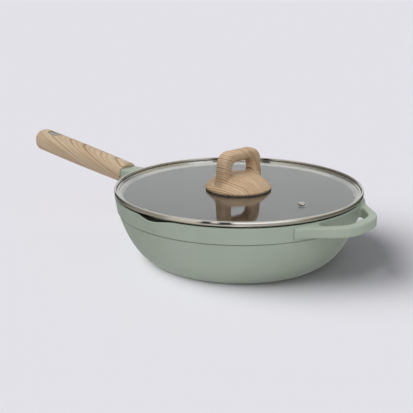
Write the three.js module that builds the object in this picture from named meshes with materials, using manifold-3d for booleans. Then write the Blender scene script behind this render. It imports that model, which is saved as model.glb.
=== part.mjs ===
// A deep saute pan with a glass lid, built from the separate pieces that it comes apart into.
// Millimetres, +Z up. The origin is the middle of the base, on the surface that the pan stands on.
// +X points to the short helper handle, -X along the long handle, and the spouts lie towards -Y and +Y.
import * as THREE from 'three';
import { mergeVertices } from 'three/addons/utils/BufferGeometryUtils.js';
import Module from 'manifold-3d';

const wasm = await Module();
wasm.setup();

// Fits
const FIT = 0.3;                 // clearance round a piece that sits in its neighbour
const SEAT = 0.1;                // gap under a piece that is clamped flat on its neighbour

// Pan body
const BODY_H = 74.4;             // height of the lip over the base
const LIP_R = 144.5;             // outside radius of the lip
const LIP_TOP_WALL = 2.4;        // wall left at the lip, outside the lid's seat
const LIP_ROUND = 1.0;           // rounding of the lip's outer edge
const WALL = 3.5;                // wall of the bowl, measured level
const BELT_H = 19;               // height of the proud belt below the lip
const BELT_LEAN = 2.9;           // how much narrower the belt is at its lower edge
const BELT_STEP = 0.9;           // how far the belt stands proud of the bowl
const BELT_EDGE = 0.7;           // height of the slope under the belt's lower edge
const BASE_R = 108;              // radius of the flat base
const BASE_EDGE = 1.2;           // chamfer round the base
const BOWL_TURN_OUT = 20;        // how far outside the base the bowl's curve aims
const BOWL_TURN_UP = 13.5;       // and how high over the base
const FLOOR_T = 5;               // thickness of the floor
const LID_SEAT_EDGE = 1.0;       // upright stretch inside the lip, over the lid's seat
const LID_SEAT_IN = 1.7;         // width of the sloping seat
const LID_SEAT_FALL = 2.8;       // fall of the sloping seat

// Pouring spouts
const SPOUT_AT = 91.6;           // degrees from the helper handle, on both sides
const SPOUT_HALF = 11;           // degrees from the middle of a spout to where it fades out
const SPOUT_REACH = 4.0;         // how far the lip is drawn out
const SPOUT_DROP = 2.5;          // how far the lip dips

// Base plate
const PLATE_R = 92;
const PLATE_T = 1.0;

// Helper handle, a flat bar bent into a loop
const HELPER_REACH = 26.8;       // from the lip to the outside of the loop
const HELPER_W = 9;              // thickness of the bar, seen from above
const HELPER_H = 11.8;           // height of the bar
const HELPER_LOW = 15.6;         // from the lip down to the underside of the bar
const HELPER_CORNER = 26;        // from the middle of the loop to its corners, along Y
const HELPER_BEND_R = 20.5;      // radius of the bends, at the middle of the bar
const HELPER_SPLAY = 40;         // degrees between the loop's legs and the X axis
const HELPER_ROUND = 2.2;        // rounding of the bar's edges
const PAD_FROM = 17.7;           // degrees from the X axis to the inner edge of each leg's root pad
const PAD_TO = 29.5;             // and to its outer edge
const PAD_PROUD = 1.6;           // how far a pad stands out from the belt
const PAD_DOWN = 1.2;            // from the lip down to a pad's top

// Long handle: the neck and tang are cast with the body, and the grip is pushed over them
const HANDLE_RISE = 8.17;        // degrees
const HANDLE_H = 61.7;           // height of the handle's axis where it leaves the lip's radius
const NECK_ROOT_HALF = 27;       // half width of the neck where it meets the wall
const NECK_OUT = 38;             // from the lip to the middle of the neck's round end
const NECK_END_R = 13;           // radius of the neck's round end
const NECK_H = 15.4;             // height of the neck, down from the lip
const NECK_ROUND = 2.5;          // rounding of the neck's edges
const NECK_PLAY = 2.3;           // room under the neck, so that the grip slides on along its axis
const TANG_W = 14;
const TANG_H = 9;
const TANG_L = 52.5;             // from the middle of the neck's round end
const GRIP_START = 37;           // along the axis, from the lip to the grip's end at the neck
const GRIP_L = 167;              // length of the grip
const GRIP_W = 32;               // width of the grip
const GRIP_T = 29;               // thickness of the grip where it is thickest
const GRIP_SQUARE = 2.2;         // power of the section's curve: 2 is an ellipse, more is squarer
const GRIP_FULL_AT = 0.3;        // where the grip is thickest, as a share of its length from the tip
const GRIP_TAPER = 0.1;          // share by which it is thinner at the neck
const GRIP_TIP_R = 6;            // rounding of the grip's far end
const GRIP_TIP_LEAN = 0.16;      // how far the far end leans out at its top, per mm of height
const GRIP_TIP_FADE = 14;        // length over which that lean fades out
const GRIP_NECK_R = 2.5;         // rounding of the edge at the neck

// Hanging slot near the tip
const SLOT_FROM_TIP = 24;        // from the tip to the middle of the slot
const SLOT_L = 20;               // clear length inside the liner
const SLOT_W = 10;               // clear width inside the liner
const LINER_WALL = 1.2;
const LINER_SHORT = 1.9;         // how far the liner stays below the grip's crown at each end

// Screw that holds the grip
const HANDLE_SCREW_AT = 70;      // along the axis, from the lip
const HANDLE_SCREW_R = 2.5;
const HANDLE_SCREW_HEAD_R = 4.4;
const HANDLE_SCREW_HEAD_H = 2.6;
const HANDLE_WASHER_R = 5;
const HANDLE_WASHER_T = 0.8;
const HANDLE_SEAT_WALL = 3.2;    // wood left between the tang and the washer
const HANDLE_SCREW_BITE = 8;     // length of the screw past the washer's seat wall, in the tang

// Lid: heights are measured from the middle of the steel bead
const LID_TURN = -7;             // degrees, as the lid happens to lie on the pan
const BEAD_R = 3.1;              // half height of the bead, which is half round
const BEAD_OUT = 0.8;            // from the rim's skirt to the inside of the bead
const BEAD_W = 3.3;              // width of the bead
const RIM_WALL = 0.9;            // steel outside the glass's edge
const RIM_DROP = 6.88;           // from the middle of the bead to the rim's underside
const RIM_LAP = 0.8;             // how far the rim laps over the glass
const RIM_LAP_T = 0.5;           // thickness of that lap
const RIM_LEDGE = 4;             // how far the rim reaches under the glass
const RIM_LIP = 3;               // width and fall of the lip that is bent down inside the ledge
const MOUTH_PLAY = 0.9;          // play between the lid and the lip
const GLASS_T = 4;
const GLASS_DOWN = 1.3;          // from the middle of the bead to the glass's top

// Vent
const VENT_FROM_EDGE = 43.5;     // from the glass's edge to the middle of the vent
const VENT_BORE_R = 1.6;
const VENT_TUBE_R = 2.5;
const VENT_FLANGE_R = 4.2;
const VENT_FLANGE_T = 2.4;
const VENT_WASHER_R = 4.4;
const VENT_WASHER_T = 0.8;
const VENT_STUB = 0.6;           // tube past the washer

// Knob: heights from its underside
const KNOB_R = 38.5;             // radius of the dome's foot
const KNOB_EDGE = 2.5;           // height of the foot's edge
const KNOB_EDGE_ROUND = 0.9;
const KNOB_CREST = 18.2;         // height of the dome in the middle
const KNOB_FULL = 3;             // how full the dome is: 2 gives a parabola, more a steeper edge
const ARCH_TOP = 45.6;           // height of the arch
const ARCH_FOOT_HALF = 34.4;     // half width of the arch at its foot
const ARCH_SHOULDER_HALF = 30.8; // half width of the arch where its top bends begin
const ARCH_SHOULDER_H = 33;      // height where the outside bends begin
const ARCH_CROWN_HALF = 15.5;    // half width of the level top
const ARCH_D = 16;               // depth of the bar
const ARCH_BAR = 12.4;           // thickness of the bar along the top
const ARCH_LEG = 16.2;           // width of a leg
const ARCH_ROUND = 4.6;          // rounding of the bar's edges
const ARCH_SINK = 3;             // height where the arch's feet end inside the dome
const EYE_BEND = 9;              // size of the bends inside the arch
const GASKET_T = 0.4;
const GASKET_R = 38.2;
const GASKET_HOLE_R = 29;

// Knob fastening
const INSERT_R = 4.7;
const INSERT_L = 13;
const KNOB_SCREW_R = 2.5;
const KNOB_SCREW_HEAD_R = 4.8;
const KNOB_SCREW_HEAD_H = 3;
const KNOB_SCREW_BITE = 10;      // length of thread inside the insert
const KNOB_WASHER_R = 10;
const KNOB_WASHER_T = 1.2;
const KNOB_SEAL_R = 9;
const KNOB_SEAL_T = 1.5;

// Facets of round pieces
const BIG_ROUND = 80;
const KNOB_ROUND = 48;
const SMALL_ROUND = 24;
const CURVE_STEPS = 8;
const EDGE_STEPS = 2;            // steps in a rounded edge

// Sizes that follow from those above
const BELT_LOW_R = LIP_R - BELT_LEAN;
const CREASE_R = BELT_LOW_R - BELT_STEP;
const CREASE_H = BODY_H - BELT_H;
const SEAT_TOP_R = LIP_R - LIP_TOP_WALL;
const SKIRT_R = SEAT_TOP_R - MOUTH_PLAY;
const SEAT_TOP_H = BODY_H - LID_SEAT_EDGE;
const SEAT_H = SEAT_TOP_H - MOUTH_PLAY * LID_SEAT_FALL / LID_SEAT_IN;
const LID_H = SEAT_H + FIT + RIM_DROP;
const GLASS_R = SKIRT_R - RIM_WALL - FIT;
const VENT_AT = GLASS_R - VENT_FROM_EDGE;
const GLASS_TOP = -GLASS_DOWN;
const GLASS_LOW = GLASS_TOP - GLASS_T;
const KNOB_LOW = GLASS_TOP + GASKET_T + 2 * SEAT;
const SLOT_AT = GRIP_START + GRIP_L - SLOT_FROM_TIP;

const rad = THREE.MathUtils.degToRad;
const point = (x, y) => new THREE.Vector2(x, y);

// A closed geometry as a solid: shared corners are joined and empty triangles left out.
function solid(geometry) {
  const bare = geometry.clone();
  bare.deleteAttribute('normal');
  bare.deleteAttribute('uv');
  const joined = mergeVertices(bare, 1e-4);
  const corners = joined.index.array;
  const triVerts = [];
  for (let i = 0; i < corners.length; i += 3) {
    const [a, b, c] = [corners[i], corners[i + 1], corners[i + 2]];
    if (a !== b && b !== c && c !== a) triVerts.push(a, b, c);
  }
  const vertProperties = Float32Array.from(joined.attributes.position.array);
  return new wasm.Manifold(new wasm.Mesh({ numProp: 3, vertProperties, triVerts: Uint32Array.from(triVerts) }));
}

function geometryOf(body) {
  const { vertProperties, triVerts, numProp } = body.getMesh();
  const geometry = new THREE.BufferGeometry();
  const positions = new Float32Array(vertProperties.length / numProp * 3);
  for (let i = 0; i < positions.length / 3; i += 1) {
    positions.set(vertProperties.subarray(i * numProp, i * numProp + 3), i * 3);
  }
  geometry.setAttribute('position', new THREE.BufferAttribute(positions, 3));
  geometry.setIndex([...triVerts]);
  return geometry;
}

function piece(name, body, material) {
  const geometry = geometryOf(body).toNonIndexed();
  geometry.computeVertexNormals();
  const mesh = new THREE.Mesh(geometry, material);
  mesh.name = name;
  return mesh;
}

// A profile of radius and height, from the bottom outwards, up and back, turned about Z.
function turned(profile, facets) {
  const points = profile.map(([radius, height]) => point(radius, height));
  return new THREE.LatheGeometry(points, facets).rotateX(Math.PI / 2);
}

function disc(radius, low, high, facets) {
  return turned([[0, low], [radius, low], [radius, high], [0, high]], facets);
}

function tube(inner, outer, low, high, facets) {
  return turned([[inner, low], [outer, low], [outer, high], [inner, high], [inner, low]], facets);
}

// The points of an outline, with the doubled ones where its stretches meet left out.
function outline(path) {
  const points = path.getPoints(CURVE_STEPS);
  return points.filter((p, i) => p.distanceTo(points[(i + 1) % points.length]) > 1e-3);
}

// A shape drawn in X and Y, raised from one height to another, with its edges rounded.
function slab(shape, low, high, round = 0) {
  const drawn = new THREE.Shape(outline(shape));
  drawn.holes = shape.holes.map((hole) => new THREE.Path(outline(hole)));
  const geometry = new THREE.ExtrudeGeometry(drawn, {
    depth: high - low - 2 * round,
    bevelEnabled: round > 0,
    bevelThickness: round,
    bevelSize: round,
    bevelOffset: -round,
    bevelSegments: EDGE_STEPS,
  });
  return geometry.translate(0, 0, low + round);
}

// A slot with round ends, along X.
function slotShape(length, width) {
  const half = (length - width) / 2;
  const radius = width / 2;
  const shape = new THREE.Shape();
  shape.absarc(half, 0, radius, -Math.PI / 2, Math.PI / 2);
  shape.absarc(-half, 0, radius, Math.PI / 2, 3 * Math.PI / 2);
  shape.closePath();
  return shape;
}

// The frame of the long handle: its X axis runs back along the handle, so the grip lies at negative X.
const handleFrame = new THREE.Matrix4()
  .makeRotationY(rad(HANDLE_RISE))
  .setPosition(-LIP_R, 0, HANDLE_H);

// Pan body

function bowlCurve() {
  const foot = point(BASE_R, BASE_EDGE);
  const turn = point(BASE_R + BOWL_TURN_OUT, BOWL_TURN_UP);
  return new THREE.QuadraticBezierCurve(foot, turn, point(CREASE_R, CREASE_H)).getPoints(CURVE_STEPS);
}

// Outside radius of the bowl at a height below the belt.
function bowlRadius(height) {
  const curve = bowlCurve();
  const above = Math.max(1, curve.findIndex((p) => p.y >= height));
  const [low, high] = [curve[above - 1], curve[above]];
  return low.x + (high.x - low.x) * (height - low.y) / (high.y - low.y);
}

function bodyProfile() {
  const recess = PLATE_T + FIT;
  const bowl = bowlCurve();
  const outside = bowl.map((p) => [p.x, p.y]);
  const inside = bowl.filter((p) => p.y > FLOOR_T).map((p) => [p.x - WALL, p.y]).reverse();
  return [
    [0, recess],
    [PLATE_R + FIT, recess],
    [PLATE_R + FIT, 0],
    [BASE_R - BASE_EDGE, 0],
    ...outside,
    [BELT_LOW_R, CREASE_H + BELT_EDGE],
    [LIP_R, BODY_H - LIP_ROUND],
    [LIP_R - LIP_ROUND, BODY_H],
    [SEAT_TOP_R, BODY_H],
    [SEAT_TOP_R, SEAT_TOP_H],
    [SEAT_TOP_R - LID_SEAT_IN, SEAT_TOP_H - LID_SEAT_FALL],
    ...inside,
    [bowlRadius(FLOOR_T) - WALL, FLOOR_T],
    [0, FLOOR_T],
  ];
}

// Draws the lip out and down at each spout, fading to nothing at the belt's lower edge.
function drawSpouts(geometry) {
  const places = geometry.attributes.position;
  for (let i = 0; i < places.count; i += 1) {
    const [x, y, z] = [places.getX(i), places.getY(i), places.getZ(i)];
    const fromHelper = Math.abs(THREE.MathUtils.radToDeg(Math.atan2(y, x)));
    const aside = Math.abs(fromHelper - SPOUT_AT) / SPOUT_HALF;
    const height = (z - CREASE_H - BELT_EDGE) / (BODY_H - CREASE_H - BELT_EDGE);
    if (aside < 1 && height > 0) {
      const pull = Math.cos(aside * Math.PI / 2) ** 2 * height ** 2;
      const grow = 1 + SPOUT_REACH * pull / Math.hypot(x, y);
      places.setXYZ(i, x * grow, y * grow, z - SPOUT_DROP * pull);
    }
  }
  return geometry;
}

// The middle line of the helper's bar, from one end inside the wall to the other.
function helperLine() {
  const front = LIP_R + HELPER_REACH - HELPER_W / 2;
  const splay = rad(HELPER_SPLAY);
  const corner = HELPER_CORNER - HELPER_W / 2 * Math.tan((Math.PI / 2 - splay) / 2);
  const tangent = HELPER_BEND_R * Math.tan((Math.PI / 2 - splay) / 2);
  const centre = point(front - HELPER_BEND_R, corner - tangent);
  const legLength = front - tangent * Math.cos(splay) - (LIP_R - HELPER_REACH);
  const half = [];
  for (let i = 0; i <= CURVE_STEPS; i += 1) {
    const turn = (Math.PI / 2 - splay) * i / CURVE_STEPS;
    half.push(point(centre.x + HELPER_BEND_R * Math.cos(turn), centre.y + HELPER_BEND_R * Math.sin(turn)));
  }
  const last = half.at(-1);
  half.push(point(last.x - legLength, last.y + legLength * Math.tan(splay)));
  return [...half.map((p) => point(p.x, -p.y)).reverse(), ...half];
}

// An outline of even width along a line of points.
function stripShape(line, width) {
  const offset = (side) => line.map((p, i) => {
    const before = line[Math.max(0, i - 1)];
    const after = line[Math.min(line.length - 1, i + 1)];
    const along = after.clone().sub(before).normalize();
    return point(p.x + along.y * side * width / 2, p.y - along.x * side * width / 2);
  });
  return new THREE.Shape([...offset(1), ...offset(-1).reverse()]);
}

function helperLoop() {
  const low = BODY_H - HELPER_LOW;
  return slab(stripShape(helperLine(), HELPER_W), low, low + HELPER_H, HELPER_ROUND);
}

// Radius of the belt's outside at a height.
function beltRadius(height) {
  const low = CREASE_H + BELT_EDGE;
  return BELT_LOW_R + BELT_LEAN * (height - low) / (BODY_H - LIP_ROUND - low);
}

// The pad that a leg of the helper grows from, on the side of +Y or -Y.
function helperPad(side) {
  const low = BODY_H - HELPER_LOW;
  const high = BODY_H - PAD_DOWN;
  const [lowR, highR] = [beltRadius(low), beltRadius(high)];
  const ring = turned([[lowR - WALL / 2, low], [lowR + PAD_PROUD, low], [highR + PAD_PROUD, high],
    [highR - WALL / 2, high], [lowR - WALL / 2, low]], BIG_ROUND);
  const corner = (angle) => point(2 * LIP_R * Math.cos(rad(angle)), 2 * LIP_R * side * Math.sin(rad(angle)));
  const wedge = slab(new THREE.Shape([point(0, 0), corner(PAD_FROM), corner(PAD_TO)]), 0, 2 * BODY_H);
  return solid(ring).intersect(solid(wedge));
}

function neckShape(grow = 0) {
  const root = LIP_R - WALL;
  const end = LIP_R + NECK_OUT;
  const radius = NECK_END_R + grow;
  const bend = LIP_R + NECK_OUT / 5;
  const back = root - NECK_END_R;
  const shape = new THREE.Shape();
  shape.moveTo(-back, NECK_ROOT_HALF);
  shape.lineTo(-root, NECK_ROOT_HALF);
  shape.quadraticCurveTo(-bend, radius, -end, radius);
  shape.absarc(-end, 0, radius, Math.PI / 2, 3 * Math.PI / 2);
  shape.quadraticCurveTo(-bend, -radius, -root, -NECK_ROOT_HALF);
  shape.lineTo(-back, -NECK_ROOT_HALF);
  shape.closePath();
  return shape;
}

const tangStart = -NECK_OUT + NECK_END_R;
const tangEnd = -(NECK_OUT + TANG_L);

function tangBar(grow = 0) {
  const length = tangStart - tangEnd + grow;
  const bar = new THREE.BoxGeometry(length, TANG_W + 2 * grow, TANG_H + 2 * grow);
  return bar.translate(tangStart - length / 2, 0, 0);
}

function handleScrewHole(radius) {
  return disc(radius, -GRIP_T, GRIP_T, SMALL_ROUND).translate(-HANDLE_SCREW_AT, 0, 0);
}

// Everything inside the middle of the wall, which the handles must not reach into.
function bowlCore() {
  const core = bowlCurve().map((p) => [p.x - WALL / 2, p.y]);
  const top = BODY_H + NECK_H;
  return turned([[0, 0], [BASE_R - WALL / 2, 0], ...core, [LIP_R - WALL / 2, BODY_H], [LIP_R - WALL / 2, top],
    [0, top]], BIG_ROUND);
}

function panBody() {
  const bowl = solid(drawSpouts(turned(bodyProfile(), BIG_ROUND)));
  const neck = solid(slab(neckShape(), BODY_H - NECK_H, BODY_H, NECK_ROUND));
  const tang = solid(tangBar().applyMatrix4(handleFrame));
  const tapped = solid(handleScrewHole(HANDLE_SCREW_R + FIT).applyMatrix4(handleFrame));
  const helper = solid(helperLoop()).add(helperPad(1)).add(helperPad(-1));
  const handles = neck.add(tang).subtract(tapped).add(helper).subtract(solid(bowlCore()));
  return bowl.add(handles);
}

function basePlate() {
  return solid(disc(PLATE_R, 0, PLATE_T, BIG_ROUND));
}

// Long handle's grip and what is fixed in it, in the handle's frame

// Presses a turned grip to an oval that is thickest near its middle.
function pressGrip(geometry) {
  const places = geometry.attributes.position;
  for (let i = 0; i < places.count; i += 1) {
    const [x, y, z] = [places.getX(i), places.getY(i), places.getZ(i)];
    const across = Math.hypot(x, y) || 1;
    const powers = Math.abs(x / across) ** GRIP_SQUARE + Math.abs(y / across) ** GRIP_SQUARE;
    const slim = GRIP_TAPER * ((z / GRIP_L - GRIP_FULL_AT) / (1 - GRIP_FULL_AT)) ** 2;
    const grow = (powers || 1) ** (-1 / GRIP_SQUARE);
    const lean = GRIP_TIP_LEAN * Math.max(0, 1 - z / GRIP_TIP_FADE);
    places.setXYZ(i, x * grow * (1 - slim), y * grow * GRIP_W / GRIP_T, z + lean * x);
  }
  return geometry;
}

function gripBlank() {
  const radius = GRIP_T / 2;
  const profile = [[0, 0]];
  for (let i = 0; i <= CURVE_STEPS; i += 1) {
    const turn = Math.PI / 2 * i / CURVE_STEPS;
    profile.push([radius - GRIP_TIP_R * (1 - Math.sin(turn)), GRIP_TIP_R * (1 - Math.cos(turn))]);
  }
  for (let i = 1; i < CURVE_STEPS; i += 1) profile.push([radius, GRIP_L * i / CURVE_STEPS]);
  for (let i = 0; i <= CURVE_STEPS / 2; i += 1) {
    const turn = Math.PI / CURVE_STEPS * i;
    profile.push([radius - GRIP_NECK_R * (1 - Math.cos(turn)), GRIP_L - GRIP_NECK_R * (1 - Math.sin(turn))]);
  }
  profile.push([0, GRIP_L]);
  const blank = pressGrip(turned(profile, 2 * SMALL_ROUND));
  return blank.rotateY(Math.PI / 2).translate(-(GRIP_START + GRIP_L), 0, 0);
}

const handleSeat = -(TANG_H / 2 + FIT + HANDLE_SEAT_WALL);

function handleGrip() {
  const toHandle = handleFrame.clone().invert();
  const neckRoom = slab(neckShape(FIT), BODY_H - NECK_H - NECK_PLAY, BODY_H + FIT).applyMatrix4(toHandle);
  const linerWall = 2 * (LINER_WALL + FIT);
  const linerRoom = slab(slotShape(SLOT_L + linerWall, SLOT_W + linerWall), -GRIP_T, GRIP_T);
  const counterbore = disc(HANDLE_WASHER_R + FIT, -GRIP_T, handleSeat, SMALL_ROUND);
  return solid(gripBlank())
    .subtract(solid(neckRoom))
    .subtract(solid(tangBar(FIT)))
    .subtract(solid(linerRoom.translate(-SLOT_AT, 0, 0)))
    .subtract(solid(disc(HANDLE_SCREW_R + FIT, -GRIP_T, 0, SMALL_ROUND).translate(-HANDLE_SCREW_AT, 0, 0)))
    .subtract(solid(counterbore.translate(-HANDLE_SCREW_AT, 0, 0)));
}

function hangingEyelet() {
  const half = GRIP_T / 2 - LINER_SHORT;
  const shape = slotShape(SLOT_L + 2 * LINER_WALL, SLOT_W + 2 * LINER_WALL);
  shape.holes.push(slotShape(SLOT_L, SLOT_W));
  return solid(slab(shape, -half, half).translate(-SLOT_AT, 0, 0));
}

const handleWasherTop = handleSeat - FIT;
const handleHeadTop = handleWasherTop - HANDLE_WASHER_T - FIT;

function handleWasher() {
  const ring = tube(HANDLE_SCREW_R + FIT, HANDLE_WASHER_R, handleWasherTop - HANDLE_WASHER_T, handleWasherTop,
    SMALL_ROUND);
  return solid(ring.translate(-HANDLE_SCREW_AT, 0, 0));
}

function handleScrew() {
  const headLow = handleHeadTop - HANDLE_SCREW_HEAD_H;
  const screw = turned([[0, headLow], [HANDLE_SCREW_HEAD_R, headLow], [HANDLE_SCREW_HEAD_R, handleHeadTop],
    [HANDLE_SCREW_R, handleHeadTop], [HANDLE_SCREW_R, handleSeat + HANDLE_SEAT_WALL + HANDLE_SCREW_BITE],
    [0, handleSeat + HANDLE_SEAT_WALL + HANDLE_SCREW_BITE]], SMALL_ROUND);
  return solid(screw.translate(-HANDLE_SCREW_AT, 0, 0));
}

// Lid, in its own frame at the middle of the bead

function lidRim() {
  const inside = SKIRT_R + BEAD_OUT;
  const lap = GLASS_R - RIM_LAP;
  const lapTop = GLASS_TOP + SEAT + RIM_LAP_T;
  const ledge = GLASS_R - RIM_LEDGE;
  const ledgeTop = GLASS_LOW - SEAT;
  const profile = [[SKIRT_R, -RIM_DROP], [SKIRT_R, -BEAD_R]];
  for (let i = 0; i <= CURVE_STEPS; i += 1) {
    const turn = Math.PI * (i / CURVE_STEPS - 0.5);
    profile.push([inside + BEAD_W * Math.cos(turn), BEAD_R * Math.sin(turn)]);
  }
  profile.push([inside, lapTop]);
  profile.push([lap, lapTop]);
  profile.push([lap, GLASS_TOP + SEAT]);
  profile.push([GLASS_R + FIT, GLASS_TOP + SEAT]);
  profile.push([GLASS_R + FIT, ledgeTop]);
  profile.push([ledge, ledgeTop]);
  profile.push([ledge - RIM_LIP, ledgeTop - RIM_LIP]);
  profile.push([ledge - RIM_LIP, -RIM_DROP - RIM_LIP]);
  profile.push([ledge, -RIM_DROP]);
  profile.push([SKIRT_R, -RIM_DROP]);
  return solid(turned(profile, BIG_ROUND));
}

function lidGlass() {
  const knobHole = disc(KNOB_SCREW_R + 2 * FIT, GLASS_LOW - GLASS_T, GLASS_TOP + GLASS_T, SMALL_ROUND);
  const ventHole = disc(VENT_TUBE_R + FIT, GLASS_LOW - GLASS_T, GLASS_TOP + GLASS_T, SMALL_ROUND);
  return solid(disc(GLASS_R, GLASS_LOW, GLASS_TOP, BIG_ROUND))
    .subtract(solid(knobHole))
    .subtract(solid(ventHole.translate(VENT_AT, 0, 0)));
}

const ventWasherTop = GLASS_LOW - SEAT;
const ventWasherLow = ventWasherTop - VENT_WASHER_T;

function ventEyelet() {
  const low = ventWasherLow - VENT_STUB;
  const flange = GLASS_TOP + SEAT;
  const eyelet = turned([[VENT_BORE_R, low], [VENT_TUBE_R, low], [VENT_TUBE_R, flange], [VENT_FLANGE_R, flange],
    [VENT_FLANGE_R, flange + VENT_FLANGE_T / 2], [VENT_FLANGE_R - VENT_FLANGE_T / 2, flange + VENT_FLANGE_T],
    [VENT_BORE_R, flange + VENT_FLANGE_T], [VENT_BORE_R, low]], SMALL_ROUND);
  return solid(eyelet.translate(VENT_AT, 0, 0));
}

function ventWasher() {
  const ring = tube(VENT_TUBE_R + FIT, VENT_WASHER_R, ventWasherLow, ventWasherTop, SMALL_ROUND);
  return solid(ring.translate(VENT_AT, 0, 0));
}

function knobDome() {
  const profile = [[0, 0], [KNOB_R - KNOB_EDGE_ROUND, 0], [KNOB_R, KNOB_EDGE_ROUND]];
  for (let i = 0; i <= CURVE_STEPS; i += 1) {
    const out = 1 - i / CURVE_STEPS;
    profile.push([KNOB_R * out, KNOB_EDGE + (KNOB_CREST - KNOB_EDGE) * (1 - out ** KNOB_FULL)]);
  }
  return turned(profile, KNOB_ROUND);
}

// The arch is drawn with its width along X and its height along Y, then stood up across the lid.
function knobArch() {
  const eyeTop = ARCH_TOP - ARCH_BAR;
  const eyeFoot = ARCH_FOOT_HALF - ARCH_LEG;
  const eyeShoulder = ARCH_SHOULDER_HALF - ARCH_LEG + EYE_BEND / 5;
  const shape = new THREE.Shape();
  shape.moveTo(ARCH_FOOT_HALF, ARCH_SINK);
  shape.lineTo(ARCH_SHOULDER_HALF, ARCH_SHOULDER_H);
  shape.quadraticCurveTo(ARCH_SHOULDER_HALF, ARCH_TOP, ARCH_CROWN_HALF, ARCH_TOP);
  shape.lineTo(-ARCH_CROWN_HALF, ARCH_TOP);
  shape.quadraticCurveTo(-ARCH_SHOULDER_HALF, ARCH_TOP, -ARCH_SHOULDER_HALF, ARCH_SHOULDER_H);
  shape.lineTo(-ARCH_FOOT_HALF, ARCH_SINK);
  shape.lineTo(-eyeFoot, ARCH_SINK);
  shape.lineTo(-eyeShoulder, eyeTop - EYE_BEND);
  shape.quadraticCurveTo(-eyeShoulder, eyeTop, -eyeShoulder + EYE_BEND, eyeTop);
  shape.lineTo(eyeShoulder - EYE_BEND, eyeTop);
  shape.quadraticCurveTo(eyeShoulder, eyeTop, eyeShoulder, eyeTop - EYE_BEND);
  shape.lineTo(eyeFoot, ARCH_SINK);
  shape.closePath();
  return slab(shape, -ARCH_D / 2, ARCH_D / 2, ARCH_ROUND).rotateX(Math.PI / 2).rotateZ(Math.PI / 2);
}

function lidKnob() {
  const bore = disc(INSERT_R + FIT, -INSERT_L, INSERT_L + FIT, SMALL_ROUND);
  const [dome, arch, hole] = [knobDome(), knobArch(), bore].map((g) => solid(g.translate(0, 0, KNOB_LOW)));
  return dome.add(arch).subtract(hole);
}

function knobGasket() {
  return solid(tube(GASKET_HOLE_R, GASKET_R, GLASS_TOP + SEAT, GLASS_TOP + SEAT + GASKET_T, KNOB_ROUND));
}

function knobInsert() {
  return solid(tube(KNOB_SCREW_R + FIT, INSERT_R, KNOB_LOW, KNOB_LOW + INSERT_L, SMALL_ROUND));
}

const sealTop = GLASS_LOW - SEAT;
const sealLow = sealTop - KNOB_SEAL_T;
const washerTop = sealLow - SEAT;
const washerLow = washerTop - KNOB_WASHER_T;
const screwHeadTop = washerLow - SEAT;

function knobSeal() {
  return solid(tube(KNOB_SCREW_R + FIT, KNOB_SEAL_R, sealLow, sealTop, SMALL_ROUND));
}

function knobWasher() {
  return solid(tube(KNOB_SCREW_R + FIT, KNOB_WASHER_R, washerLow, washerTop, SMALL_ROUND));
}

function knobScrew() {
  const headLow = screwHeadTop - KNOB_SCREW_HEAD_H;
  const tip = KNOB_LOW + KNOB_SCREW_BITE;
  return solid(turned([[0, headLow], [KNOB_SCREW_HEAD_R, headLow], [KNOB_SCREW_HEAD_R, screwHeadTop],
    [KNOB_SCREW_R, screwHeadTop], [KNOB_SCREW_R, tip], [0, tip]], SMALL_ROUND));
}

// Finishes

const finish = (color, roughness, metalness) => new THREE.MeshStandardMaterial({ color, roughness, metalness });
const enamel = () => finish(0x9ca798, 0.55, 0);
const wood = () => finish(0xbc9d78, 0.55, 0);
const polishedSteel = () => finish(0xc8c8c4, 0.18, 1);
const brushedSteel = () => finish(0xa9a9a6, 0.4, 1);
const brass = () => finish(0xb59a5b, 0.35, 1);
const darkRubber = () => finish(0x2b2926, 0.7, 0);
const clearGlass = () => {
  const material = finish(0x9a9c9b, 0.05, 0);
  material.transparent = true;
  material.opacity = 0.45;
  return material;
};

// Assembly

const handle = new THREE.Group();
handle.applyMatrix4(handleFrame);
handle.add(
  piece('handle_grip', handleGrip(), wood()),
  piece('hanging_eyelet', hangingEyelet(), brushedSteel()),
  piece('handle_washer', handleWasher(), brushedSteel()),
  piece('handle_screw', handleScrew(), brushedSteel()),
);

const lid = new THREE.Group();
lid.position.z = LID_H;
lid.rotation.z = rad(LID_TURN);
lid.add(
  piece('lid_glass', lidGlass(), clearGlass()),
  piece('lid_rim', lidRim(), polishedSteel()),
  piece('vent_eyelet', ventEyelet(), polishedSteel()),
  piece('vent_washer', ventWasher(), brushedSteel()),
  piece('lid_knob', lidKnob(), wood()),
  piece('knob_gasket', knobGasket(), darkRubber()),
  piece('knob_insert', knobInsert(), brass()),
  piece('knob_seal', knobSeal(), darkRubber()),
  piece('knob_washer', knobWasher(), brushedSteel()),
  piece('knob_screw', knobScrew(), brushedSteel()),
);

const pan = new THREE.Group();
pan.add(
  piece('pan_body', panBody(), enamel()),
  piece('induction_base_plate', basePlate(), brushedSteel()),
  handle,
  lid,
);

export default pan;
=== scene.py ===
# %% [markdown]
# A deep saute pan with a glass lid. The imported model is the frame: it says where each piece is and what
# moves. Here each piece gets its finish and, but for the glass, a finer mesh. Pieces are drawn in
# millimetres, because that is how a maker thinks of a pan, and they are scaled to metres in one place.

# %% Load the frame
import math

import bmesh
import bpy
from mathutils import Matrix, Vector


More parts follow.
